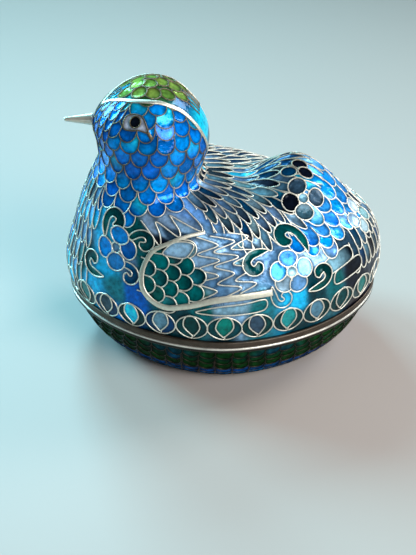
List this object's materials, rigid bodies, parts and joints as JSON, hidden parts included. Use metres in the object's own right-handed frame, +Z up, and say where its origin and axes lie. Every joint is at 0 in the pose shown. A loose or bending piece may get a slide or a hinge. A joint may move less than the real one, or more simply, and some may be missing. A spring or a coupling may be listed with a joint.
{
  "type": "bird-shaped enamel trinket box",
  "caption": "Small oval trinket box shaped as a nesting bird, with wired enamel all over, a brass beak and brass edges. The bird lifts off as the lid and the bowl below it is hollow.",
  "frame": {"origin": "middle of the flat underside, under the middle of the box's length and width", "axes": "+Z up, the beak points along -X and the tail along +X, +Y is the bird's right side"},
  "size_m": [0.0884, 0.0688, 0.0773],
  "materials": {
    "lid_enamel": "glossy coloured enamel cells between brass wires",
    "bowl_enamel": "glossy green and blue enamel cells between brass wires",
    "brass_edge": "worn polished brass",
    "brass_wire": "pale polished brass"
  },
  "bodies": {
    "root": {"bowl": "bowl_enamel", "bowl_rim": "brass_edge", "lid_rim": "brass_edge", "lid": "lid_enamel", "beak": "brass_edge", "crown_band": "brass_wire", "wing_band_left": "brass_wire", "wing_band_right": "brass_wire"}
  },
  "joints": []
}
